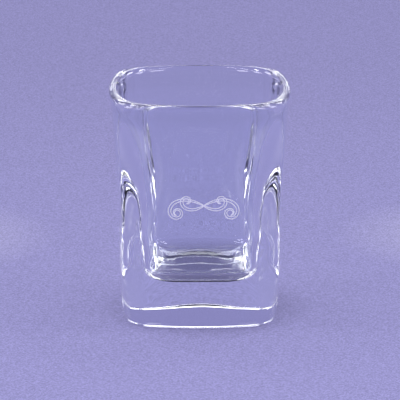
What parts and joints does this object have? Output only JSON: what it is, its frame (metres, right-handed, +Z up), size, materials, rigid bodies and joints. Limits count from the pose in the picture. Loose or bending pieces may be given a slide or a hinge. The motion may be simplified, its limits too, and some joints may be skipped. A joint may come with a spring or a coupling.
{
  "type": "shot glass",
  "caption": "Clear pressed shot glass with a rounded-square outline, a flared mouth and a thick solid base, one piece of glass standing on a flat underside.",
  "frame": {"origin": "middle of the flat underside, where the glass rests on a table", "axes": "+Z up along the glass's axis, out through the mouth; -Y is the engraved front side and +X is its right-hand side"},
  "size_m": [0.0512, 0.0512, 0.065],
  "materials": {
    "clear_glass": "clear colourless fire-polished soda-lime glass"
  },
  "bodies": {
    "root": {"glass_body": "clear_glass"}
  },
  "joints": []
}
